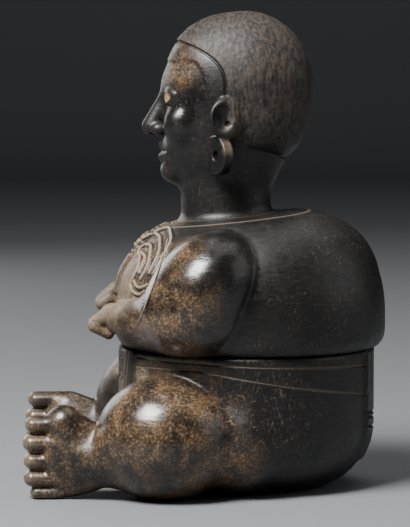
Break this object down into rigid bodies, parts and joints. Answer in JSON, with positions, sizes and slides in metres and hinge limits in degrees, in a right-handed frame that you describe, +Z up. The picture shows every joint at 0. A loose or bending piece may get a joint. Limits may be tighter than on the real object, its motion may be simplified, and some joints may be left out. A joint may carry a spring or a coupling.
{
  "type": "anthropomorphic urn",
  "caption": "Lidded burnished pottery urn in the form of a seated figure, hollow, with the torso and head as a lift-off lid.",
  "frame": {"origin": "on the surface the urn stands on, under the middle of its bounding box", "axes": "+Z up, the figure faces -Y, and +X is the figure's left side"},
  "size_m": [0.2042, 0.2297, 0.3],
  "materials": {
    "burnished_clay": "burnished, worn at the high spots"
  },
  "bodies": {
    "root": {"urn_base": "burnished_clay", "urn_lid": "burnished_clay"}
  },
  "joints": []
}
